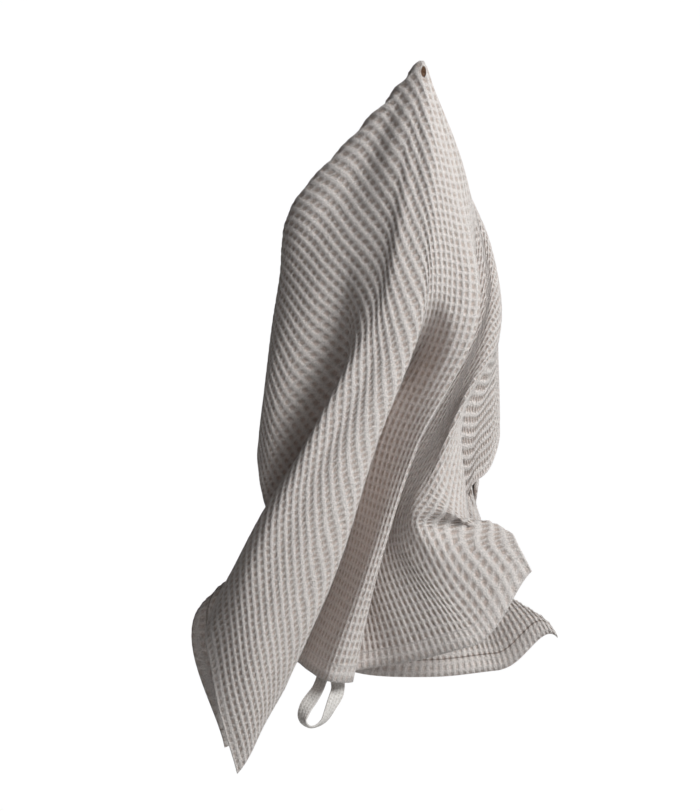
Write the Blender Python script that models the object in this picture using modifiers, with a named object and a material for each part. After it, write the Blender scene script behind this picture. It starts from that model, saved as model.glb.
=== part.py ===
"""Waffle dish towel hanging from one point, with its hanging loop.

The towel is one cloth, 0.46 m wide and 0.92 m long, lifted at its middle, so
that one end falls in front and the other behind. The lifted point is the
origin, +Z is up and the front faces -Y. A place on the flat cloth is given by
its angle round the lifted point (0 points to the hanging loop, positive to
the right) and its distance from that point. Each row of FOLDS is one fold
line: a straight line on the flat cloth, and a soft curve on the hanging one.
"""
import bpy
import bmesh
import numpy as np

HALF_WIDTH = 0.23          # lifted point to the long edges
HALF_LENGTH = 0.46         # lifted point to the short ends
CLOTH = 0.0022             # thickness of the waffle cloth
HEM = 0.0029               # thickness where the hem is turned
END_HEM = 0.012            # width of the hem on the short ends
SIDE_HEM = 0.008           # width of the hem on the long edges
TIP_RADIUS = 0.005         # roundness of the lifted point
TIP_WIDTH = 0.0055         # how far it is rounded out sideways
PLEAT_ANGLE = 18.0         # one pleat of the back, degrees of cloth
PLEAT_GROWTH = 1.5         # how the pleats deepen towards the hem
TAPE_WIDTH = 0.0105        # hanging loop, flat tape
TAPE_THICKNESS = 0.0018

# shares of the way from the lifted point to the edge at which a fold is placed
SHARES = (0.0, 0.22, 0.42, 0.62, 0.82, 1.0)

# fold line, angle on the flat cloth (degrees), fall to the edge (mm), then at
# the neck, shoulder, waist, hip and edge: sideways place (mm) and depth (mm,
# front negative), and the pleat depth at the edge (mm)
FOLDS = (
    ("left side", -84, 252, (-41, -80, -96, -103, -107), (12, 24, 30, 34, 36), 2),
    ("left ridge", -71, 262, (-54, -98, -106, -112, -115), (6, 8, 12, 14, 16), 0),
    ("bulge left", -61, 280, (-45, -87, -105, -115, -121), (-3, -6, 0, 2, 4), 0),
    ("bulge front", -53, 306, (-40, -76, -96, -114, -122), (-6, -12, -12, -10, -4), 0),
    ("bulge right", -47, 334, (-36, -67, -83, -105, -117), (-11, -19, -18, -12, 0), 0),
    ("valley left", -43.5, 354, (-33, -60, -68, -93, -108), (-16, -23, -14, 2, 8), 0),
    ("valley", -41, 370, (-31, -54, -57, -90, -116), (-20, -26, -12, 8, 14), 0),
    ("leg left inner", -38.5, 388, (-28, -48, -58, -100, -142), (-24, -31, -22, -10, 0), 0),
    ("leg left edge", -35.5, 416, (-24, -41, -69, -120, -158), (-29, -39, -46, -46, -40), 0),
    ("leg left face", -31.5, 453, (-19, -37, -82, -128, -155), (-34, -48, -66, -72, -64), 0),
    ("lowest corner", -26.565, 528, (-15, -37, -88, -124, -137), (-43, -57, -74, -77, -62), 0),
    ("leg right face", -22, 491, (-6, -19, -59, -94, -117), (-42, -57, -71, -72, -60), 0),
    ("leg right edge", -18.5, 464, (0, -3, -36, -66, -102), (-42, -54, -61, -62, -52), 0),
    ("leg right inner", -14, 450, (7, 0, -46, -72, -103), (-42, -49, -30, -24, -24), 0),
    ("recess", -8.5, 450, (14, 11, -38, -60, -94), (-38, -42, 2, 8, 8), 0),
    ("strip left wall", -4.5, 456, (19, 20, -24, -50, -84), (-34, -39, -9, -10, -14), 0),
    ("strip crest", -0.5, 462, (24, 31, -11, -41, -70), (-29, -38, -24, -34, -36), 0),
    ("strip right edge", 3, 463, (28, 40, -4, -34, -53), (-22, -33, -30, -31, -26), 0),
    ("under strip", 7, 458, (31, 33, -16, -50, -60), (-17, -21, -6, -2, -10), 0),
    ("panel inner", 11, 453, (33, 32, -14, -50, -34), (-12, -14, -1, 2, -12), 0),
    ("panel left", 15, 447, (34, 32, -8, -42, -4), (-8, -12, -1, -4, -26), 0),
    ("panel face", 20, 437, (34, 38, 5, -24, 32), (-3, -11, -8, -14, -38), 0),
    ("flare", 24, 430, (34, 46, 17, -11, 60), (1, -11, -14, -26, -34), 0),
    ("right front corner", 26.565, 405, (31, 50, 29, 0, 81), (5, -8, -18, -34, -26), 0),
    ("flap edge", 29, 358, (27, 51, 46, 15, 66), (9, -4, -18, -31, -24), 0),
    ("panel crest", 31, 342, (25, 51.5, 53, 22, 50), (12, -1, -14, -24, -17), 0),
    ("panel right edge", 34, 330, (23, 51, 57, 28, 38), (15, 4, -5, -10, -6), 0),
    ("behind panel", 38, 328, (21, 49.5, 57.5, 30, 32), (19, 9, 3, 0, 6), 0),
    ("side panel low", 42, 328, (20, 48, 57, 40, 32), (23, 14, 8, 4, 9), 0),
    ("side panel", 47, 316, (19, 45.5, 56, 48, 39), (26, 19, 12, 8, 10), 0),
    ("side flap", 52, 306, (17, 43, 55, 54, 50), (28, 23, 16, 12, 12), 0),
    ("side flap edge", 58, 282, (15, 39, 54, 57, 58), (30, 28, 22, 18, 20), 0),
    ("far side", 68, 254, (12, 33, 49, 54, 54), (31, 33, 31, 30, 31), 0),
    ("far side back", 80, 240, (8, 26, 43, 49, 46), (32, 41, 44, 45, 46), 2),
    ("back right", 105, 300, (2, 22, 39, 48, 45), (31, 48, 60, 68, 72), 12),
    ("back right low", 130, 350, (-6, 10, 26, 37, 40), (32, 50, 62, 68, 70), 14),
    ("back corner side", 145, 400, (-12, 4, 22, 40, 66), (33, 50, 60, 62, 54), 12),
    ("back corner", 153.435, 458, (-16, -2, 16, 48, 98), (34, 47, 52, 46, 30), 3),
    ("back hem right", 160, 458, (-20, -8, 6, 24, 66), (35, 47, 52, 48, 32), 5),
    ("back hem middle", 168, 463, (-25, -16, -14, -8, 10), (35, 48, 54, 50, 34), 6),
    ("back hem left", 175, 461, (-30, -26, -30, -36, -48), (35, 48, 55, 56, 46), 12),
    ("back hem behind", 183, 446, (-35, -36, -44, -56, -74), (34, 50, 60, 66, 62), 18),
    ("back hem hidden", 192, 452, (-42, -47, -60, -76, -104), (33, 48, 60, 66, 60), 18),
    ("back hem low", 200, 478, (-46, -56, -72, -94, -127), (31, 46, 57, 58, 40), 12),
    ("back left corner", 206.565, 514, (-47, -64, -86, -118, -148), (29, 44, 50, 40, 4), 2),
    ("back left edge", 212, 416, (-48, -68, -86, -106, -171), (27, 44, 52, 50, 30), 2),
    ("back left turn", 219, 398, (-47, -70, -86, -106, -137), (25, 42, 52, 54, 48), 6),
    ("back left", 230, 330, (-46, -74, -84, -92, -101), (23, 40, 52, 60, 62), 10),
    ("back left high", 255, 268, (-43, -78, -91, -98, -103), (18, 33, 44, 52, 56), 8),
)

# places where the cloth is pressed out of those lines, angle (degrees) and
# distance (mm) on the flat cloth, half the width and half the length of the
# press (mm), and how far it pushes to the right, back and up (mm)
PRESSES = (
    ("arch of the recess", -10.0, 232, 34, 52, (0, 24, 0)),
    ("raised front corner", 26.565, 514, 60, 60, (0, 0, 24)),
    ("kink of the panel", 30.5, 392, 54, 76, (-5, -4, -34)),
    ("pocket over the flare", 28.5, 445, 28, 42, (0, 11, 0)),
    ("raised back corner", 153.435, 514, 75, 75, (5, 0, 25)),
)

# place along the tape of the loop: sideways, depth, height (mm) and the turn of
# the tape's width out of the front plane (degrees)
LOOP = (
    ("left end", -72.2, -19.6, -453.0, 45),
    ("left strand", -77.9, -25.6, -468.0, 36),
    ("left belly", -87.0, -32.0, -482.0, 24),
    ("left turn", -88.5, -34.0, -491.5, 62),
    ("bottom", -82.5, -34.0, -496.0, 84),
    ("right turn", -74.0, -33.0, -491.5, 70),
    ("right belly", -67.5, -30.0, -479.5, 36),
    ("right strand", -63.0, -25.0, -468.0, 10),
    ("right end", -65.0, -23.0, -453.0, -15),
)


def slopes(known, values):
    """slope of the values at each known place, from its two neighbours"""
    step = np.diff(known).reshape((-1,) + (1,) * (values.ndim - 1))
    rise = np.diff(values, axis=0) / step
    inner = (rise[:-1] * step[1:] + rise[1:] * step[:-1]) / (step[1:] + step[:-1])
    return np.concatenate((rise[:1], inner, rise[-1:]))


def blend(t, step, start, end, slope_start, slope_end):
    """cubic from start to end with the given end slopes, t from 0 to 1"""
    return ((2 * t**3 - 3 * t**2 + 1) * start + (t**3 - 2 * t**2 + t) * step * slope_start
            + (3 * t**2 - 2 * t**3) * end + (t**3 - t**2) * step * slope_end)


def reach(angle):
    """distance from the lifted point to the edge of the flat cloth"""
    across, along = np.abs(np.sin(angle)), np.abs(np.cos(angle))
    return np.minimum(HALF_WIDTH / np.maximum(across, 1e-9), HALF_LENGTH / np.maximum(along, 1e-9))


ANGLES = np.array([row[1] for row in FOLDS], float)
EDGE = reach(np.radians(ANGLES))
STOPS = np.array(SHARES)
CURVES = np.array([
    np.stack((np.array((0,) + side), np.array((0,) + depth), -fall * STOPS,
              pleat * STOPS**PLEAT_GROWTH), -1)
    for name, angle, fall, side, depth, pleat in FOLDS]) / 1000
TRENDS = np.stack([slopes(STOPS, curve) for curve in CURVES])


def on_fold(row, radius):
    """places on the fold lines with these row numbers, at these distances"""
    share = radius / EDGE[row]
    k = np.clip(np.searchsorted(STOPS, share, side="right") - 1, 0, len(STOPS) - 2)
    step = (STOPS[k + 1] - STOPS[k])[..., None]
    t = np.clip((share - STOPS[k])[..., None] / step, 0, 1)
    curve = blend(t, step, CURVES[row, k], CURVES[row, k + 1], TRENDS[row, k], TRENDS[row, k + 1])
    return curve + np.maximum(share - 1, 0)[..., None] * TRENDS[row, -1]


def hanging(angle, radius):
    """places on the hanging cloth: a cubic across the two folds on either side"""
    angle = (angle - ANGLES[0]) % 360 + ANGLES[0]
    count = len(ANGLES)
    row = np.searchsorted(ANGLES, angle, side="right") - 1
    whole = np.concatenate((ANGLES[-1:] - 360, ANGLES, ANGLES[:2] + 360))
    near = [on_fold((row + k) % count, radius) for k in (-1, 0, 1, 2)]
    at = [whole[row + k + 1][..., None] for k in (-1, 0, 1, 2)]
    gap = [at[k + 1] - at[k] for k in range(3)]
    rise = [(near[k + 1] - near[k]) / gap[k] for k in range(3)]
    start = (rise[0] * gap[1] + rise[1] * gap[0]) / (gap[0] + gap[1])
    end = (rise[1] * gap[2] + rise[2] * gap[1]) / (gap[1] + gap[2])
    place = blend((angle[..., None] - at[1]) / gap[1], gap[1], near[1], near[2], start, end)
    place[..., 1] += place[..., 3] * np.cos(np.radians(angle) * 360 / PLEAT_ANGLE)
    tip = radius / TIP_RADIUS * np.exp(-radius / TIP_RADIUS)
    place[..., 0] += TIP_WIDTH * tip * np.sin(np.radians(angle))
    place[..., 1] -= TIP_WIDTH * tip * np.cos(np.radians(angle))
    place[..., 2] += TIP_RADIUS * tip
    for name, middle, distance, half_width, half_length, push in PRESSES:
        turn = np.radians(angle - middle)
        across = radius * np.sin(turn) * 1000 / half_width
        along = (radius * np.cos(turn) * 1000 - distance) / half_length
        share = np.clip(1 - across**2 - along**2, 0, 1)**2
        place[..., :3] += share[..., None] * np.array(push) / 1000
    return place[..., :3]


def column_angles():
    """angles of the mesh columns: each stretch between folds is split evenly"""
    angles = []
    for here, after in zip(ANGLES, np.append(ANGLES[1:], ANGLES[0] + 360)):
        span = after - here
        parts = 3 if 3 <= span < 8 else max(2, round(span / 3))
        angles.extend(here + span * np.arange(parts) / parts)
    return np.array(angles)


def cloth_material(name, colour, roughness):
    material = bpy.data.materials.new(name)
    material.use_nodes = True
    shader = material.node_tree.nodes["Principled BSDF"]
    shader.inputs["Base Color"].default_value = colour
    shader.inputs["Roughness"].default_value = roughness
    return material


def add_object(name, mesh, material):
    item = bpy.data.objects.new(name, mesh)
    mesh.materials.append(material)
    COLLECTION.objects.link(item)
    return item


def towel_cloth():
    """one sheet round the lifted point: a grid of columns (angles) and rings
    (distances), closed at the seam and at the lifted point, then thickened"""
    angles = column_angles()
    edge = reach(np.radians(angles))
    sine, cosine = np.abs(np.sin(np.radians(angles))), np.abs(np.cos(np.radians(angles)))
    on_side = HALF_WIDTH / np.maximum(sine, 1e-9) < HALF_LENGTH / np.maximum(cosine, 1e-9)
    hem = np.where(on_side, SIDE_HEM / np.maximum(sine, 1e-9), END_HEM / np.maximum(cosine, 1e-9))
    hem_share = 1 - hem / edge
    body = np.array((0.0, 0.035, 0.08, 0.15, 0.22, 0.29, 0.36, 0.43, 0.50,
                     0.57, 0.64, 0.71, 0.78, 0.85, 0.92, 1.0))
    shares = np.concatenate((hem_share[:, None] * body, np.ones((len(angles), 1))), 1)
    places = hanging(np.repeat(angles[:, None], shares.shape[1], 1), shares * edge[:, None])

    columns, rings = shares.shape
    form = bmesh.new()
    bmesh.ops.create_grid(form, x_segments=columns, y_segments=rings - 1, size=1.0)
    form.verts.ensure_lookup_table()
    hemmed = form.verts.layers.deform.verify()
    for vert in form.verts:
        column = round((vert.co.x + 1) / 2 * columns)
        ring = round((vert.co.y + 1) / 2 * (rings - 1))
        vert.co = places[column % columns, ring]
        vert[hemmed][0] = 1.0 if ring >= rings - 2 else min(0.35 + 0.45 * ring / 4, CLOTH / HEM)
    bmesh.ops.remove_doubles(form, verts=form.verts, dist=0.00001)
    bmesh.ops.recalc_face_normals(form, faces=form.faces)
    mesh = bpy.data.meshes.new("towel_cloth")
    form.to_mesh(mesh)
    form.free()
    cloth = add_object("towel_cloth", mesh, cloth_material("waffle cloth", (0.72, 0.66, 0.61, 1), 0.95))
    cloth.vertex_groups.new(name="hem")
    shell = cloth.modifiers.new("thickness", "SOLIDIFY")
    shell.thickness = HEM
    shell.offset = 0.0
    shell.use_even_offset = False
    shell.vertex_group = "hem"
    return cloth


def hanging_loop():
    """flat tape swept along the loop, its width turning out of the front plane"""
    rows = np.array([row[1:] for row in LOOP], float)
    known = np.arange(len(rows), dtype=float)
    at = np.linspace(0, len(rows) - 1, 41)
    k = np.clip(at.astype(int), 0, len(rows) - 2)
    trend = slopes(known, rows)
    path = blend((at - k)[:, None], 1.0, rows[k], rows[k + 1], trend[k], trend[k + 1])
    line, turn = path[:, :3] / 1000, np.radians(path[:, 3])
    ahead = np.gradient(line, axis=0)
    ahead /= np.linalg.norm(ahead, axis=1)[:, None]
    front = np.cross(ahead, (0.0, 1.0, 0.0))
    front /= np.linalg.norm(front, axis=1)[:, None]
    deep = np.cross(ahead, front)
    wide = np.cos(turn)[:, None] * front + np.sin(turn)[:, None] * deep
    flat = np.cross(ahead, wide)
    corners = ((-1, -1), (0, -1), (1, -1), (1, 1), (0, 1), (-1, 1))
    form = bmesh.new()
    rings = []
    for place, w, f in zip(line, wide, flat):
        rings.append([form.verts.new(place + w * u * TAPE_WIDTH / 2 + f * v * TAPE_THICKNESS / 2)
                      for u, v in corners])
    edges = [form.edges.new((ring[i], ring[i - 1])) for ring in rings for i in range(len(corners))]
    bmesh.ops.bridge_loops(form, edges=edges)
    form.faces.new(rings[0])
    form.faces.new(rings[-1])
    bmesh.ops.recalc_face_normals(form, faces=form.faces)
    mesh = bpy.data.meshes.new("hanging_loop")
    form.to_mesh(mesh)
    form.free()
    return add_object("hanging_loop", mesh, cloth_material("loop tape", (0.74, 0.69, 0.64, 1), 0.95))


for old in list(bpy.data.objects):
    bpy.data.objects.remove(old)
COLLECTION = bpy.data.collections.new("dish_towel")
bpy.context.scene.collection.children.link(COLLECTION)
towel_cloth()
hanging_loop()
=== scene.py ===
"""Waffle dish towel hanging from one lifted point.

One cotton cloth with turned hems falls from the lifted point, which is the
origin, in front of and behind it. A loop of cotton tape hangs from the middle
of its front hem. Lengths are in metres unless a name says mm; +Z is up and
the front faces -Y.
"""
import bmesh
import bpy
import numpy as np
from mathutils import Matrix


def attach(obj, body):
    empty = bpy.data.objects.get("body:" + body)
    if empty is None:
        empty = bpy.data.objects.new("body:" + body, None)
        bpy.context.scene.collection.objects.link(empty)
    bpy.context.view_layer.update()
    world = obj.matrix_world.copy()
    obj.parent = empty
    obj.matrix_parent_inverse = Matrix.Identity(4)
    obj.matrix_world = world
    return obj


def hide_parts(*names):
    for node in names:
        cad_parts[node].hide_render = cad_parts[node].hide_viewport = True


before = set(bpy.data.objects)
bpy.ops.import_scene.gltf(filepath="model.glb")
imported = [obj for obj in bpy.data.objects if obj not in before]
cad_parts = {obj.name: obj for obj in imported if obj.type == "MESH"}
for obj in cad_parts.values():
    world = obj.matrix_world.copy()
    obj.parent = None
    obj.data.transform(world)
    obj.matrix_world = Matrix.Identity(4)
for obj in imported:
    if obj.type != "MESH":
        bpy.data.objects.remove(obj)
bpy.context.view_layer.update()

# --- Cotton cloth ------------------------------------------------------------
# The towel is woven in one piece in waffle weave: thick ribs along it, lower
# cross walls between them, and a hollow in each cell that stands out on the
# wrong side. It hangs in the folds of the CAD solid, worked out the same way.
HALF_WIDTH = 0.23               # lifted point to the long edges
HALF_LENGTH = 0.46              # lifted point to the short ends
ACROSS, ALONG = 82, 150         # waffle cells over the width and the length
CELL_WIDE, CELL_LONG = 2 * HALF_WIDTH / ACROSS, 2 * HALF_LENGTH / ALONG
RIB = 1 / 6                     # half the flat top of a rib, share of a cell
CROSS_WALL = 0.6                # height of a cross wall; a rib is at 1, a hollow's middle at -1
YARN_MM = 1.2                   # cloth without its relief
RELIEF_MM = 0.7                 # how far a rib stands out, or a hollow's middle in
END_HEM, SIDE_HEM = 12.0, 7.5   # widths of the turned hems, mm
HEM_MM = 0.9                    # what the turned layer adds on the wrong side
HEM_START, HEM_STEP = 1.25, 0.35   # where that layer starts and how soon it is full, hem widths
HEM_FLATTER = 0.35              # share of the relief that a hem has lost
TIP_RADIUS = 0.005              # roundness of the lifted point
TIP_WIDTH = 0.0055              # how far it is rounded out sideways
PLEAT_ANGLE = 18.0              # one pleat of the back, degrees of cloth
PLEAT_GROWTH = 1.5              # how the pleats deepen towards the hem

# shares of the way from the lifted point to the edge at which a fold is placed
SHARES = (0.0, 0.22, 0.42, 0.62, 0.82, 1.0)

# fold line, angle on the flat cloth (degrees, 0 towards the loop), fall to the
# edge (mm), then at the neck, shoulder, waist, hip and edge: sideways place and
# depth (mm, front negative), and the pleat depth at the edge (mm)
FOLDS = (
    ("left side", -84, 252, (-41, -80, -96, -103, -107), (12, 24, 30, 34, 36), 2),
    ("left ridge", -71, 262, (-54, -98, -106, -112, -115), (6, 8, 12, 14, 16), 0),
    ("bulge left", -61, 280, (-45, -87, -105, -115, -121), (-3, -6, 0, 2, 4), 0),
    ("bulge front", -53, 306, (-40, -76, -96, -114, -122), (-6, -12, -12, -10, -4), 0),
    ("bulge right", -47, 334, (-36, -67, -83, -105, -117), (-11, -19, -18, -12, 0), 0),
    ("valley left", -43.5, 354, (-33, -60, -68, -93, -108), (-16, -23, -14, 2, 8), 0),
    ("valley", -41, 370, (-31, -54, -57, -90, -116), (-20, -26, -12, 8, 14), 0),
    ("leg left inner", -38.5, 388, (-28, -48, -58, -100, -142), (-24, -31, -22, -10, 0), 0),
    ("leg left edge", -35.5, 416, (-24, -41, -69, -120, -158), (-29, -39, -46, -46, -40), 0),
    ("leg left face", -31.5, 453, (-19, -37, -82, -128, -155), (-34, -48, -66, -72, -64), 0),
    ("lowest corner", -26.565, 528, (-15, -37, -88, -124, -137), (-43, -57, -74, -77, -62), 0),
    ("leg right face", -22, 491, (-6, -19, -59, -94, -117), (-42, -57, -71, -72, -60), 0),
    ("leg right edge", -18.5, 464, (0, -3, -36, -66, -102), (-42, -54, -61, -62, -52), 0),
    ("leg right inner", -14, 450, (7, 0, -46, -72, -103), (-42, -49, -30, -24, -24), 0),
    ("recess", -8.5, 450, (14, 11, -38, -60, -94), (-38, -42, 2, 8, 8), 0),
    ("strip left wall", -4.5, 456, (19, 20, -24, -50, -84), (-34, -39, -9, -10, -14), 0),
    ("strip crest", -0.5, 462, (24, 31, -11, -41, -70), (-29, -38, -24, -34, -36), 0),
    ("strip right edge", 3, 463, (28, 40, -4, -34, -53), (-22, -33, -30, -31, -26), 0),
    ("under strip", 7, 458, (31, 33, -16, -50, -60), (-17, -21, -6, -2, -10), 0),
    ("panel inner", 11, 453, (33, 32, -14, -50, -34), (-12, -14, -1, 2, -12), 0),
    ("panel left", 15, 447, (34, 32, -8, -42, -4), (-8, -12, -1, -4, -26), 0),
    ("panel face", 20, 437, (34, 38, 5, -24, 32), (-3, -11, -8, -14, -38), 0),
    ("flare", 24, 430, (34, 46, 17, -11, 60), (1, -11, -14, -26, -34), 0),
    ("right front corner", 26.565, 405, (31, 50, 29, 0, 81), (5, -8, -18, -34, -26), 0),
    ("flap edge", 29, 358, (27, 51, 46, 15, 66), (9, -4, -18, -31, -24), 0),
    ("panel crest", 31, 342, (25, 51.5, 53, 22, 50), (12, -1, -14, -24, -17), 0),
    ("panel right edge", 34, 330, (23, 51, 57, 28, 38), (15, 4, -5, -10, -6), 0),
    ("behind panel", 38, 328, (21, 49.5, 57.5, 30, 32), (19, 9, 3, 0, 6), 0),
    ("side panel low", 42, 328, (20, 48, 57, 40, 32), (23, 14, 8, 4, 9), 0),
    ("side panel", 47, 316, (19, 45.5, 56, 48, 39), (26, 19, 12, 8, 10), 0),
    ("side flap", 52, 306, (17, 43, 55, 54, 50), (28, 23, 16, 12, 12), 0),
    ("side flap edge", 58, 282, (15, 39, 54, 57, 58), (30, 28, 22, 18, 20), 0),
    ("far side", 68, 254, (12, 33, 49, 54, 54), (31, 33, 31, 30, 31), 0),
    ("far side back", 80, 240, (8, 26, 43, 49, 46), (32, 41, 44, 45, 46), 2),
    ("back right", 105, 300, (2, 22, 39, 48, 45), (31, 48, 60, 68, 72), 12),
    ("back right low", 130, 350, (-6, 10, 26, 37, 40), (32, 50, 62, 68, 70), 14),
    ("back corner side", 145, 400, (-12, 4, 22, 40, 66), (33, 50, 60, 62, 54), 12),
    ("back corner", 153.435, 458, (-16, -2, 16, 48, 98), (34, 47, 52, 46, 30), 3),
    ("back hem right", 160, 458, (-20, -8, 6, 24, 66), (35, 47, 52, 48, 32), 5),
    ("back hem middle", 168, 463, (-25, -16, -14, -8, 10), (35, 48, 54, 50, 34), 6),
    ("back hem left", 175, 461, (-30, -26, -30, -36, -48), (35, 48, 55, 56, 46), 12),
    ("back hem behind", 183, 446, (-35, -36, -44, -56, -74), (34, 50, 60, 66, 62), 18),
    ("back hem hidden", 192, 452, (-42, -47, -60, -76, -104), (33, 48, 60, 66, 60), 18),
    ("back hem low", 200, 478, (-46, -56, -72, -94, -127), (31, 46, 57, 58, 40), 12),
    ("back left corner", 206.565, 514, (-47, -64, -86, -118, -148), (29, 44, 50, 40, 4), 2),
    ("back left edge", 212, 416, (-48, -68, -86, -106, -171), (27, 44, 52, 50, 30), 2),
    ("back left turn", 219, 398, (-47, -70, -86, -106, -137), (25, 42, 52, 54, 48), 6),
    ("back left", 230, 330, (-46, -74, -84, -92, -101), (23, 40, 52, 60, 62), 10),
    ("back left high", 255, 268, (-43, -78, -91, -98, -103), (18, 33, 44, 52, 56), 8),
)

# where the cloth is pressed out of those lines: angle (degrees) and distance
# (mm) on the flat cloth, half the width and half the length of the press (mm),
# and how far it pushes to the right, back and up (mm)
PRESSES = (
    ("arch of the recess", -10.0, 232, 34, 52, (0, 24, 0)),
    ("raised front corner", 26.565, 514, 60, 60, (0, 0, 24)),
    ("kink of the panel", 30.5, 392, 54, 76, (-5, -4, -34)),
    ("pocket over the flare", 28.5, 445, 28, 42, (0, 11, 0)),
    ("raised back corner", 153.435, 514, 75, 75, (5, 0, 25)),
)


def slopes(known, values):
    """Slope of the values at each known place: the rises to its two neighbours,
    each weighted by the distance to the other; at the ends, the one rise."""
    step = np.diff(known).reshape((-1,) + (1,) * (values.ndim - 1))
    rise = np.diff(values, axis=0) / step
    inner = (rise[:-1] * step[1:] + rise[1:] * step[:-1]) / (step[1:] + step[:-1])
    return np.concatenate((rise[:1], inner, rise[-1:]))


def blend(t, step, start, end, slope_start, slope_end):
    """Cubic from start to end with the given slopes there; t goes from 0 to 1
    over the step, and the slopes are per unit of the step's own measure."""
    return ((2 * t**3 - 3 * t**2 + 1) * start + (t**3 - 2 * t**2 + t) * step * slope_start
            + (3 * t**2 - 2 * t**3) * end + (t**3 - t**2) * step * slope_end)


# each fold's reach from the lifted point to the edge of the flat cloth, then its
# sideways place, depth, height and pleat depth at each stop, and their slopes
TINY = 1e-12   # keeps a division from meeting zero
fold_angle = np.array([row[1] for row in FOLDS], float)
sine, cosine = np.abs(np.sin(np.radians(fold_angle))), np.abs(np.cos(np.radians(fold_angle)))
fold_reach = np.minimum(HALF_WIDTH / np.maximum(sine, TINY), HALF_LENGTH / np.maximum(cosine, TINY))
stops = np.array(SHARES)
fold_curve = np.array([
    np.stack((np.array((0,) + side), np.array((0,) + depth), -fall * stops,
              pleat * stops**PLEAT_GROWTH), -1)
    for name, angle, fall, side, depth, pleat in FOLDS]) / 1000
fold_trend = np.stack([slopes(stops, curve) for curve in fold_curve])


def on_fold(row, radius):
    """Places on the fold lines with these row numbers: a cubic through the
    stops of each fold at radius over its reach, straight on beyond its end."""
    share = radius / fold_reach[row]
    k = np.clip(np.searchsorted(stops, share, side="right") - 1, 0, len(stops) - 2)
    step = (stops[k + 1] - stops[k])[..., None]
    t = np.clip((share - stops[k])[..., None] / step, 0, 1)
    curve = blend(t, step, fold_curve[row, k], fold_curve[row, k + 1],
                  fold_trend[row, k], fold_trend[row, k + 1])
    return curve + np.maximum(share - 1, 0)[..., None] * fold_trend[row, -1]


def hanging(a, b):
    """Place on the hanging cloth of the flat place a across and b along it:
    the angle and distance of (a, b) round the lifted point, then a cubic
    across the two folds on either side at that distance; plus the pleats, a
    cosine of the angle; plus the rounding of the tip, which is largest one
    tip radius away; plus each press, (1 - the squared distance from its
    middle in its own half sizes) squared."""
    angle, radius = np.degrees(np.arctan2(a, b)), np.hypot(a, b)
    angle = (angle - fold_angle[0]) % 360 + fold_angle[0]
    count = len(fold_angle)
    row = np.searchsorted(fold_angle, angle, side="right") - 1
    around = np.concatenate((fold_angle[-1:] - 360, fold_angle, fold_angle[:2] + 360))
    near = [on_fold((row + k) % count, radius) for k in (-1, 0, 1, 2)]
    at = [around[row + k + 1][..., None] for k in (-1, 0, 1, 2)]
    gap = [at[k + 1] - at[k] for k in range(3)]
    rise = [(near[k + 1] - near[k]) / gap[k] for k in range(3)]
    start = (rise[0] * gap[1] + rise[1] * gap[0]) / (gap[0] + gap[1])
    end = (rise[1] * gap[2] + rise[2] * gap[1]) / (gap[1] + gap[2])
    place = blend((angle[..., None] - at[1]) / gap[1], gap[1], near[1], near[2], start, end)
    place[..., 1] += place[..., 3] * np.cos(np.radians(angle) * 360 / PLEAT_ANGLE)
    tip = radius / TIP_RADIUS * np.exp(-radius / TIP_RADIUS)
    place[..., 0] += TIP_WIDTH * tip * np.sin(np.radians(angle))
    place[..., 1] -= TIP_WIDTH * tip * np.cos(np.radians(angle))
    place[..., 2] += TIP_RADIUS * tip
    for name, middle, distance, half_width, half_length, push in PRESSES:
        turn = np.radians(angle - middle)
        across = radius * np.sin(turn) * 1000 / half_width
        along = (radius * np.cos(turn) * 1000 - distance) / half_length
        share = np.clip(1 - across**2 - along**2, 0, 1)**2
        place[..., :3] += share[..., None] * np.array(push) / 1000
    return place[..., :3]


def facing(a, b, reach=0.0009):
    """Unit vector out of the right side at (a, b): the cross product of the
    steps along and across the cloth, each taken over twice the reach."""
    out = np.cross(hanging(a, b + reach) - hanging(a, b - reach),
                   hanging(a + reach, b) - hanging(a - reach, b))
    return out / np.maximum(np.linalg.norm(out, axis=-1, keepdims=True), TINY)


def both_sides(a, b, wall):
    """Right and wrong side at (a, b): half the yarn either way from the middle
    of the cloth, both pushed out where wall is 1 and in where it is -1, less
    so in the hem, where the turned layer thickens the wrong side."""
    to_edge = 1000 * np.minimum((HALF_LENGTH - np.abs(b)) / END_HEM,
                                (HALF_WIDTH - np.abs(a)) / SIDE_HEM)
    hem = np.clip((HEM_START - to_edge) / HEM_STEP, 0, 1)
    push = RELIEF_MM * wall * (1 - HEM_FLATTER * hem)
    place, out = hanging(a, b), facing(a, b) / 1000
    return (place + out * (YARN_MM / 2 + push)[..., None],
            place + out * (-YARN_MM / 2 + push - HEM_MM * hem)[..., None])


# places in cells: along each row line the two sides of every rib and the cross
# wall's middle between them, and one place in the middle of each cell
inside = np.arange(ACROSS)[:, None] + (RIB, 0.5, 1 - RIB)
line_cells = np.concatenate(((0,), inside.ravel(), (ACROSS,)))
line_height = np.concatenate(((1,), np.tile((1, CROSS_WALL, 1), ACROSS), (1,)))
line_a, line_b = np.meshgrid(line_cells, np.arange(ALONG + 1), indexing="ij")
mid_a, mid_b = np.meshgrid(np.arange(ACROSS) + 0.5, np.arange(ALONG) + 0.5, indexing="ij")
flat_a = np.concatenate((line_a.ravel(), mid_a.ravel()))
flat_b = np.concatenate((line_b.ravel(), mid_b.ravel()))
height = np.concatenate((np.repeat(line_height, ALONG + 1), np.full(mid_a.size, -1.0)))
right, wrong = both_sides(flat_a * CELL_WIDE - HALF_WIDTH,
                          flat_b * CELL_LONG - HALF_LENGTH, height)

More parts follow.
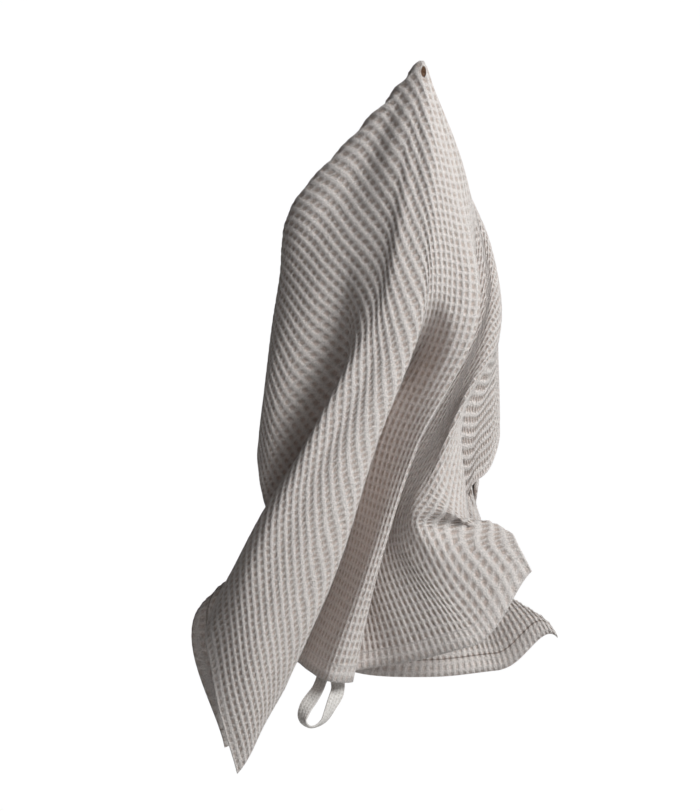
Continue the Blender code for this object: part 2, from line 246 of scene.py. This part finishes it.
# a rib is two triangles per cell, and a hollow has six that meet in its middle;
# the right side is the same faces turned over, and a band round the edge joins
# the two sides
each_side = flat_a.size
on_line = np.arange(line_a.size).reshape(line_a.shape)
middle = line_a.size + np.arange(mid_a.size).reshape(mid_a.shape)
near, far = on_line[:, :-1], on_line[:, 1:]
ribs = np.concatenate([np.stack(f, -1).reshape(-1, 3) for f in (
    (near[0::3], near[1::3], far[1::3]), (near[0::3], far[1::3], far[0::3]))])
rim = [near[1::3][:-1], near[2::3], near[3::3], far[3::3], far[2::3], far[1::3][:-1]]
hollows = np.concatenate([np.stack((rim[k], rim[(k + 1) % 6], middle), -1).reshape(-1, 3)
                          for k in range(6)])
wrong_faces = np.concatenate((ribs, hollows))
border = np.concatenate((on_line[:, 0], on_line[-1, 1:], on_line[-2::-1, -1], on_line[0, -2:0:-1]))
after = np.roll(border, -1)
band = np.concatenate((np.stack((border, after, after + each_side), -1),
                       np.stack((border, after + each_side, border + each_side), -1)))
cloth_points = np.concatenate((right, wrong))
cloth_faces = np.concatenate((wrong_faces[:, ::-1], wrong_faces + each_side, band))
# cells across, cells along, and 0 on the right side or 1 on the wrong one
cloth_place = np.stack((np.tile(flat_a, 2), np.tile(flat_b, 2),
                        np.repeat((0.0, 1.0), each_side)), -1)


def new_piece(name, points, faces, attribute, values):
    """One mesh object at the origin, smooth, with a vector for each point."""
    mesh = bpy.data.meshes.new(name)
    mesh.from_pydata(points.tolist(), [], faces.tolist())
    stored = mesh.attributes.new(attribute, "FLOAT_VECTOR", "POINT")
    stored.data.foreach_set("vector", values.ravel())
    mesh.shade_smooth()
    piece = bpy.data.objects.new(name, mesh)
    bpy.context.scene.collection.objects.link(piece)
    return piece


def calc(tree, operation, *values):
    """One Math node; each value is a number or the socket that it comes from."""
    made = tree.nodes.new("ShaderNodeMath")
    made.operation = operation
    for socket, value in zip(made.inputs, values):
        if isinstance(value, bpy.types.NodeSocket):
            tree.links.new(value, socket)
        else:
            socket.default_value = value
    return made.outputs[0]


def fade(tree, value, low, high):
    """0 below low, 1 above high and a soft step between them."""
    made = tree.nodes.new("ShaderNodeMapRange")
    made.interpolation_type = "SMOOTHSTEP"
    tree.links.new(value, made.inputs["Value"])
    made.inputs["From Min"].default_value, made.inputs["From Max"].default_value = low, high
    return made.outputs["Result"]


def noise(tree, place, scale, detail, output="Fac", roughness=0.65):
    """Smooth noise of about scale bumps a unit, each octave of the detail half
    the size of the last and roughness times its strength."""
    made = tree.nodes.new("ShaderNodeTexNoise")
    made.inputs["Scale"].default_value = scale
    made.inputs["Detail"].default_value = detail
    made.inputs["Roughness"].default_value = roughness
    tree.links.new(place, made.inputs["Vector"])
    return made.outputs[output]


def mix_colour(tree, share, first, second, way="MIX"):
    """The first colour moved by the share towards the second, or towards their
    product for MULTIPLY; the colour sockets of a Mix node go by number."""
    made = tree.nodes.new("ShaderNodeMix")
    made.data_type, made.blend_type = "RGBA", way
    share_in, first_in, second_in = (made.inputs[k] for k in (0, 6, 7))
    colour_out = made.outputs[2]
    for socket, value in ((share_in, share), (first_in, first), (second_in, second)):
        if isinstance(value, bpy.types.NodeSocket):
            tree.links.new(value, socket)
        else:
            socket.default_value = value
    return colour_out


def new_group(name, inputs, outputs):
    """An empty node group with these sockets, and its input and output nodes."""
    group = bpy.data.node_groups.new(name, "ShaderNodeTree")
    for label, kind in inputs:
        group.interface.new_socket(name=label, in_out="INPUT", socket_type=kind)
    for label, kind in outputs:
        group.interface.new_socket(name=label, in_out="OUTPUT", socket_type=kind)
    return group, group.nodes.new("NodeGroupInput"), group.nodes.new("NodeGroupOutput")


# waffle weave: cells one unit wide with ribs and cross walls at the whole
# numbers, their lines wandering a little, and yarns that cross them
RIB_FADE = (0.08, 0.42)     # a rib's foot and top, cells from the middle of a hollow
CROSS_FADE = (0.10, 0.46)   # the same for a cross wall
CROSS_STRENGTH = 0.8        # a cross wall against a rib at 1
WANDER, WANDER_SCALE = 0.4, 0.45   # how far the lines wander in all, and bends of that, cells
YARN_TURN = 31.416          # five yarns over a cell, radians
YARN_RELIEF = 0.05          # height of one yarn against a rib at 1
waffle, given, made = new_group(
    "waffle weave", (("Place", "NodeSocketVector"), ("Half cell", "NodeSocketFloat")),
    (("Hollow", "NodeSocketFloat"), ("Height", "NodeSocketFloat")))
wander = waffle.nodes.new("ShaderNodeSeparateColor")
waffle.links.new(noise(waffle, given.outputs["Place"], WANDER_SCALE, 2.0, "Color"), wander.inputs[0])
split = waffle.nodes.new("ShaderNodeSeparateXYZ")
waffle.links.new(given.outputs["Place"], split.inputs[0])
walls, lines = [], []
for axis, rise, strength in ((0, RIB_FADE, 1.0), (1, CROSS_FADE, CROSS_STRENGTH)):
    line = calc(waffle, "ADD", split.outputs[axis],
                calc(waffle, "MULTIPLY_ADD", wander.outputs[axis], WANDER, -WANDER / 2))
    line = calc(waffle, "MULTIPLY_ADD", given.outputs["Half cell"], 0.5, line)
    off_middle = calc(waffle, "ABSOLUTE", calc(
        waffle, "SUBTRACT", calc(waffle, "FRACT", line), 0.5))
    lines.append(line)
    walls.append(calc(waffle, "MULTIPLY", fade(waffle, off_middle, *rise), strength))
hollow = calc(waffle, "MULTIPLY", calc(waffle, "SUBTRACT", 1.0, walls[0]),
              calc(waffle, "SUBTRACT", 1.0, walls[1]))
yarns = [calc(waffle, "MULTIPLY", calc(
    waffle, "SINE", calc(waffle, "MULTIPLY", lines[1 - axis], YARN_TURN)), walls[axis])
    for axis in (0, 1)]
weave_height = calc(waffle, "MULTIPLY_ADD", calc(waffle, "ADD", *yarns), YARN_RELIEF,
                    calc(waffle, "SUBTRACT", 1.0, hollow))
waffle.links.new(hollow, made.inputs["Hollow"])
waffle.links.new(weave_height, made.inputs["Height"])

# cotton: loose fibres that stand off the yarns, and a slow unevenness of tone
FIBRES, PATCHES = 800.0, 45.0   # bumps per metre of the fibres and of the unevenness
FIBRE_TONE, PATCH_TONE, DARKEST_TONE = 1.1, 0.12, 0.39
cotton, given, made = new_group(
    "cotton fibres", (("Place", "NodeSocketVector"),),
    (("Tone", "NodeSocketFloat"), ("Fuzz", "NodeSocketFloat")))
fuzz = noise(cotton, given.outputs["Place"], FIBRES, 5.0)
slow = noise(cotton, given.outputs["Place"], PATCHES, 2.0)
tone = calc(cotton, "MULTIPLY_ADD", fuzz, FIBRE_TONE,
            calc(cotton, "MULTIPLY_ADD", slow, PATCH_TONE, DARKEST_TONE))
cotton.links.new(tone, made.inputs["Tone"])
cotton.links.new(fuzz, made.inputs["Fuzz"])


def cotton_material(name):
    """A dry, slightly downy material with its shader, the vector that holds a
    place in cells, and one node each for the weave and the fibres."""
    look = bpy.data.materials.new(name)
    look.use_nodes = True
    tree = look.node_tree
    shader = tree.nodes["Principled BSDF"]
    for socket, value in (("Roughness", 0.95), ("Specular IOR Level", 0.15),
                          ("Sheen Weight", 0.12), ("Sheen Roughness", 0.6)):
        shader.inputs[socket].default_value = value
    stored = tree.nodes.new("ShaderNodeAttribute")
    stored.attribute_name = "cloth_place"
    place = stored.outputs["Vector"]
    weave, fibres = tree.nodes.new("ShaderNodeGroup"), tree.nodes.new("ShaderNodeGroup")
    weave.node_tree, fibres.node_tree = waffle, cotton
    tree.links.new(place, weave.inputs["Place"])
    tree.links.new(tree.nodes.new("ShaderNodeTexCoord").outputs["Object"], fibres.inputs["Place"])
    return look, shader, place, weave, fibres


def to_border(tree, cells, count, size):
    """Distance in mm from a place, counted in cells, to the nearer border: half
    the count less the distance from the middle, times the size of a cell."""
    off_middle = calc(tree, "ABSOLUTE", calc(tree, "SUBTRACT", cells, count / 2))
    return calc(tree, "MULTIPLY", calc(tree, "SUBTRACT", count / 2, off_middle), size * 1000)


def hem_edge(tree, distance, width):
    """1 on the line where a hem of this width ends and 0 away from it: 1 less a
    soft step over how far the distance to the border is from it, mm."""
    off_line = calc(tree, "ABSOLUTE", calc(tree, "SUBTRACT", distance, width + LINE_PAST))
    return calc(tree, "SUBTRACT", 1.0, fade(tree, off_line, *LINE_FADE))


WALL_COLOUR = (0.84, 0.75, 0.705, 1)
# the hollow colour is painted shade: each cell's hollow is coloured darker and warmer than its walls
HOLLOW_SHADE_COLOUR = (0.62, 0.485, 0.42, 1)
GAP_COLOUR = (0.20, 0.12, 0.08, 1)      # the shadow under the turned edge of a hem
OPENING_SHADE_COLOUR = (0.17, 0.085, 0.045, 1)  # painted shade inside the opening at the tip
HEM_BLUR = 0.2                          # half the step from hem to open cloth, mm
LINE_PAST = 0.35                        # from a hem's width to the middle of its line, mm
LINE_FADE = (0.25, 0.8)                 # from there to where the line fades and ends, mm
LINE_RIGHT, LINE_WRONG_MORE = 0.12, 0.4   # its strength, and what the wrong side adds
WEAVE_SHARE, WEAVE_HEM_LESS = 0.9, -0.3   # how much the weave shows, and less in a hem
FUZZ_RELIEF, HEM_RELIEF, LINE_RELIEF, PINCH_RELIEF = 1.3, 0.8, -0.5, -1.5
BUMP_DEPTH = 0.0014

cloth_look, shader, place, weave, fibres = cotton_material("waffle cloth")
tree = cloth_look.node_tree
cell = tree.nodes.new("ShaderNodeSeparateXYZ")
tree.links.new(place, cell.inputs[0])
wrong_side = cell.outputs[2]
tree.links.new(wrong_side, weave.inputs["Half cell"])

# the hems: where they lie, and the line of shadow and stitches along each
end_mm = to_border(tree, cell.outputs[1], ALONG, CELL_LONG)
side_mm = to_border(tree, cell.outputs[0], ACROSS, CELL_WIDE)
past_end = fade(tree, end_mm, END_HEM - HEM_BLUR, END_HEM + HEM_BLUR)
past_side = fade(tree, side_mm, SIDE_HEM - HEM_BLUR, SIDE_HEM + HEM_BLUR)
in_hem = calc(tree, "SUBTRACT", 1.0, calc(tree, "MULTIPLY", past_end, past_side))
any_line = calc(tree, "MAXIMUM", hem_edge(tree, end_mm, END_HEM),
                calc(tree, "MULTIPLY", past_end, hem_edge(tree, side_mm, SIDE_HEM)))
hem_line = calc(tree, "MULTIPLY", any_line,
                calc(tree, "MULTIPLY_ADD", wrong_side, LINE_WRONG_MORE, LINE_RIGHT))

weave_share = calc(tree, "MULTIPLY_ADD", in_hem, WEAVE_HEM_LESS, WEAVE_SHARE)
# painted shade: the hollows are coloured darker and warmer than the walls, less so in a hem
colour = mix_colour(tree, calc(tree, "MULTIPLY", weave.outputs["Hollow"], weave_share),
                    WALL_COLOUR, HOLLOW_SHADE_COLOUR)
colour = mix_colour(tree, 1.0, colour, fibres.outputs["Tone"], "MULTIPLY")
colour = mix_colour(tree, hem_line, colour, GAP_COLOUR)

# at the very tip the cloth is pinched round a small opening whose shade is painted dark, an ellipse
# seen from the front: its middle and its half size, sideways and in height
OPENING = ((0, 0.0010, 0.0021), (2, -0.0078, 0.0048))
OPENING_FADE = (0.75, 1.05)   # shares of its half size where it fades and ends
spot = tree.nodes.new("ShaderNodeSeparateXYZ")
tree.links.new(tree.nodes.new("ShaderNodeTexCoord").outputs["Object"], spot.inputs[0])
squares = []
for axis, centre, half_size in OPENING:
    offset = calc(tree, "DIVIDE", calc(tree, "SUBTRACT", spot.outputs[axis], centre), half_size)
    squares.append(calc(tree, "MULTIPLY", offset, offset))
ring = calc(tree, "SQRT", calc(tree, "ADD", *squares))
pinch = calc(tree, "MULTIPLY", calc(tree, "SUBTRACT", 1.0, fade(tree, ring, *OPENING_FADE)),
             calc(tree, "LESS_THAN", spot.outputs[1], 0.0))
colour = mix_colour(tree, pinch, colour, OPENING_SHADE_COLOUR)
tree.links.new(colour, shader.inputs["Base Color"])

relief = calc(tree, "MULTIPLY", weave.outputs["Height"], weave_share)
for part, strength in ((fibres.outputs["Fuzz"], FUZZ_RELIEF),
                       (calc(tree, "MULTIPLY", in_hem, wrong_side), HEM_RELIEF),
                       (hem_line, LINE_RELIEF), (pinch, PINCH_RELIEF)):
    relief = calc(tree, "MULTIPLY_ADD", part, strength, relief)
bump = tree.nodes.new("ShaderNodeBump")
bump.inputs["Distance"].default_value = BUMP_DEPTH
tree.links.new(relief, bump.inputs["Height"])
tree.links.new(bump.outputs["Normal"], shader.inputs["Normal"])

towel = new_piece("towel_waffle_cloth", cloth_points, cloth_faces, "cloth_place", cloth_place)
towel.data.materials.append(cloth_look)
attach(towel, "root")
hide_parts("towel_cloth")

# --- Hanging loop ------------------------------------------------------------
# A short length of woven cotton tape, doubled and sewn inside the middle of
# the front hem. It hangs open below the hem with its bottom turned to one side.
TAPE_WIDTH_MM, TAPE_MM = 10.5, 1.8
WIDTH_CHANGE, CHANGE_TURN = 0.03, 5.1     # how its width varies: share, radians to a row of LOOP
STEPS, PROFILE_DEGREES = 161, 15          # rings along the tape, and points round it
FACE_POWER, SELVEDGE_POWER = 0.35, 0.6    # how square its cross-section is
TAPE_CELLS, YARN_STEP = 4.0, 0.0026       # weave over its width, and metres to a cell along it
LOOP = (   # sideways, depth, height (mm), turn of the tape's width (degrees)
    ("left end", -72.2, -19.6, -453.0, 45),
    ("left strand", -77.9, -25.6, -468.0, 36),
    ("left belly", -87.0, -32.0, -482.0, 24),
    ("left turn", -88.5, -34.0, -491.5, 62),
    ("bottom", -82.5, -34.0, -496.0, 84),
    ("right turn", -74.0, -33.0, -491.5, 70),
    ("right belly", -67.5, -30.0, -479.5, 36),
    ("right strand", -63.0, -25.0, -468.0, 10),
    ("right end", -65.0, -23.0, -453.0, -15),
)


def tape(rows, steps, profile):
    """A profile (share of half the width, share of half the thickness) carried
    along a cubic through the rows; its width turns by the angle of each row
    and changes a little with a sine of the row. Also the middle line."""
    rows = np.array([row[1:] for row in rows], float)
    known = np.arange(len(rows), dtype=float)
    at = np.linspace(0, len(rows) - 1, steps)
    k = np.clip(at.astype(int), 0, len(rows) - 2)
    trend = slopes(known, rows)
    path = blend((at - k)[:, None], 1.0, rows[k], rows[k + 1], trend[k], trend[k + 1])
    line, turn = path[:, :3] / 1000, np.radians(path[:, 3])[:, None]
    ahead = np.gradient(line, axis=0)
    ahead /= np.linalg.norm(ahead, axis=1)[:, None]
    front = np.cross(ahead, (0.0, 1.0, 0.0))
    front /= np.linalg.norm(front, axis=1)[:, None]
    wide = np.cos(turn) * front + np.sin(turn) * np.cross(ahead, front)
    flat = np.cross(ahead, wide)
    wave = 1 + WIDTH_CHANGE * np.sin(at * CHANGE_TURN)[:, None]
    u, v = profile[:, 0], profile[:, 1]
    return (line[:, None] + wide[:, None] * (u * TAPE_WIDTH_MM / 2000 * wave)[..., None]
            + flat[:, None] * (v * TAPE_MM / 2000)[None, :, None]), line


# the tape's cross-section: a circle made square by powers of its sine and cosine
around_tape = np.radians(np.arange(0, 360, PROFILE_DEGREES))
round_u, round_v = np.cos(around_tape), np.sin(around_tape)
profile = np.stack((np.sign(round_u) * np.abs(round_u)**FACE_POWER,
                    np.sign(round_v) * np.abs(round_v)**SELVEDGE_POWER), -1)
rings, line = tape(LOOP, STEPS, profile)
sides = rings.shape[1]
index = np.arange(STEPS * sides).reshape(STEPS, sides)
beside = np.roll(index, -1, axis=1)
tape_faces = np.stack((index[:-1], beside[:-1], beside[1:], index[1:]), -1).reshape(-1, 4)
length = np.concatenate(((0,), np.cumsum(np.linalg.norm(np.diff(line, axis=0), axis=1))))
tape_place = np.stack((np.broadcast_to(profile[:, 0] * TAPE_CELLS / 2, (STEPS, sides)),
                       np.broadcast_to(length[:, None] / YARN_STEP, (STEPS, sides)),
                       np.zeros((STEPS, sides))), -1)
loop = new_piece("hanging_tape_loop", rings.reshape(-1, 3), tape_faces, "cloth_place",
                 tape_place.reshape(-1, 3))

# its two cut ends are closed, and all faces turned outwards
form = bmesh.new()
form.from_mesh(loop.data)
bmesh.ops.holes_fill(form, edges=[edge for edge in form.edges if edge.is_boundary], sides=0)
bmesh.ops.recalc_face_normals(form, faces=form.faces)
form.to_mesh(loop.data)
form.free()

# painted shade: the tape's hollows are coloured darker and warmer than its walls, by the share below
TAPE_WALL, TAPE_HOLLOW_SHADE = (0.72, 0.66, 0.62, 1), (0.48, 0.40, 0.34, 1)
TAPE_SHADE_SHARE = 0.4
TAPE_WEAVE_RELIEF, TAPE_FUZZ_RELIEF, TAPE_BUMP_DEPTH = 0.4, 0.6, 0.0005
tape_look, shader, place, weave, fibres = cotton_material("loop tape")
tree = tape_look.node_tree
colour = mix_colour(tree, calc(tree, "MULTIPLY", weave.outputs["Hollow"], TAPE_SHADE_SHARE),
                    TAPE_WALL, TAPE_HOLLOW_SHADE)
colour = mix_colour(tree, 1.0, colour, fibres.outputs["Tone"], "MULTIPLY")
tree.links.new(colour, shader.inputs["Base Color"])
bump = tree.nodes.new("ShaderNodeBump")
bump.inputs["Distance"].default_value = TAPE_BUMP_DEPTH
tree.links.new(calc(tree, "MULTIPLY_ADD", fibres.outputs["Fuzz"], TAPE_FUZZ_RELIEF, calc(
    tree, "MULTIPLY", weave.outputs["Height"], TAPE_WEAVE_RELIEF)), bump.inputs["Height"])
tree.links.new(bump.outputs["Normal"], shader.inputs["Normal"])
loop.data.materials.append(tape_look)
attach(loop, "root")
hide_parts("hanging_loop")

# --- Studio ------------------------------------------------------------------
# A pale floor well below the towel and a white surround. One large soft light
# stands high to the right in front, a weak one in front, and one behind for
# the back of the cloth; the long lens looks level at the towel's middle.
FLOOR_Z, FLOOR_HALF = -0.80, 2.2
FLOOR_COLOUR, FLOOR_ROUGHNESS = (0.86, 0.86, 0.86, 1), 0.9
floor_mesh = bpy.data.meshes.new("floor")
floor_mesh.from_pydata([(x * FLOOR_HALF, y * FLOOR_HALF, FLOOR_Z)
                        for x, y in ((-1, -1), (1, -1), (1, 1), (-1, 1))], [], [(0, 1, 2, 3)])
floor = bpy.data.objects.new("floor", floor_mesh)
bpy.context.scene.collection.objects.link(floor)
floor_look = bpy.data.materials.new("pale floor")
floor_look.use_nodes = True
floor_shader = floor_look.node_tree.nodes["Principled BSDF"]
floor_shader.inputs["Base Color"].default_value = FLOOR_COLOUR
floor_shader.inputs["Roughness"].default_value = FLOOR_ROUGHNESS
floor_mesh.materials.append(floor_look)

# the surround: bright where the camera sees it, dim as a light on the cloth
DIM, BRIGHT_MORE = 0.05, 0.96
world = bpy.data.worlds.new("surround")
world.use_nodes = True
bpy.context.scene.world = world
tree = world.node_tree
around = tree.nodes["Background"]
seen = tree.nodes.new("ShaderNodeLightPath").outputs["Is Camera Ray"]
tree.links.new(calc(tree, "MULTIPLY_ADD", seen, BRIGHT_MORE, DIM), around.inputs["Strength"])
around.inputs["Color"].default_value = (1.0, 1.0, 1.0, 1)

AIM_X, AIM_Z = -0.03, -0.27   # the middle of the towel, where the lights point


def soft_light(name, azimuth, elevation, distance, size, power, colour):
    """Square area light aimed at the towel's middle from this distance, its
    azimuth counted from the camera's side to the right, in degrees."""
    data = bpy.data.lights.new(name, "AREA")
    data.shape, data.size, data.energy, data.color = "SQUARE", size, power, colour
    lamp = bpy.data.objects.new(name, data)
    side, up = np.radians(azimuth), np.radians(elevation)
    lamp.location = (AIM_X + distance * np.sin(side) * np.cos(up),
                     -distance * np.cos(side) * np.cos(up), AIM_Z + distance * np.sin(up))
    lamp.rotation_euler = (np.pi / 2 - up, 0, side)
    bpy.context.scene.collection.objects.link(lamp)


soft_light("key light", 52, 36, 2.2, 1.0, 53, (0.91, 0.975, 1.0))
soft_light("fill light", 10, 40, 2.4, 1.0, 3, (0.96, 0.98, 1.0))
soft_light("back light", 185, 25, 2.6, 1.4, 14, (1.0, 0.99, 0.98))

LENS_MM, SENSOR_MM = 180.0, 36.0
FIELD = 0.608                          # height that the picture takes in at the towel
CAMERA_X, CAMERA_Z = -0.054, -0.2576
camera_data = bpy.data.cameras.new("camera")
camera_data.sensor_fit, camera_data.sensor_height = "VERTICAL", SENSOR_MM
camera_data.lens = LENS_MM
camera = bpy.data.objects.new("camera", camera_data)
camera.location = (CAMERA_X, -FIELD * LENS_MM / SENSOR_MM, CAMERA_Z)
camera.rotation_euler = (np.pi / 2, 0, 0)
bpy.context.scene.collection.objects.link(camera)
bpy.context.scene.camera = camera
bpy.context.scene.view_settings.view_transform = "Standard"
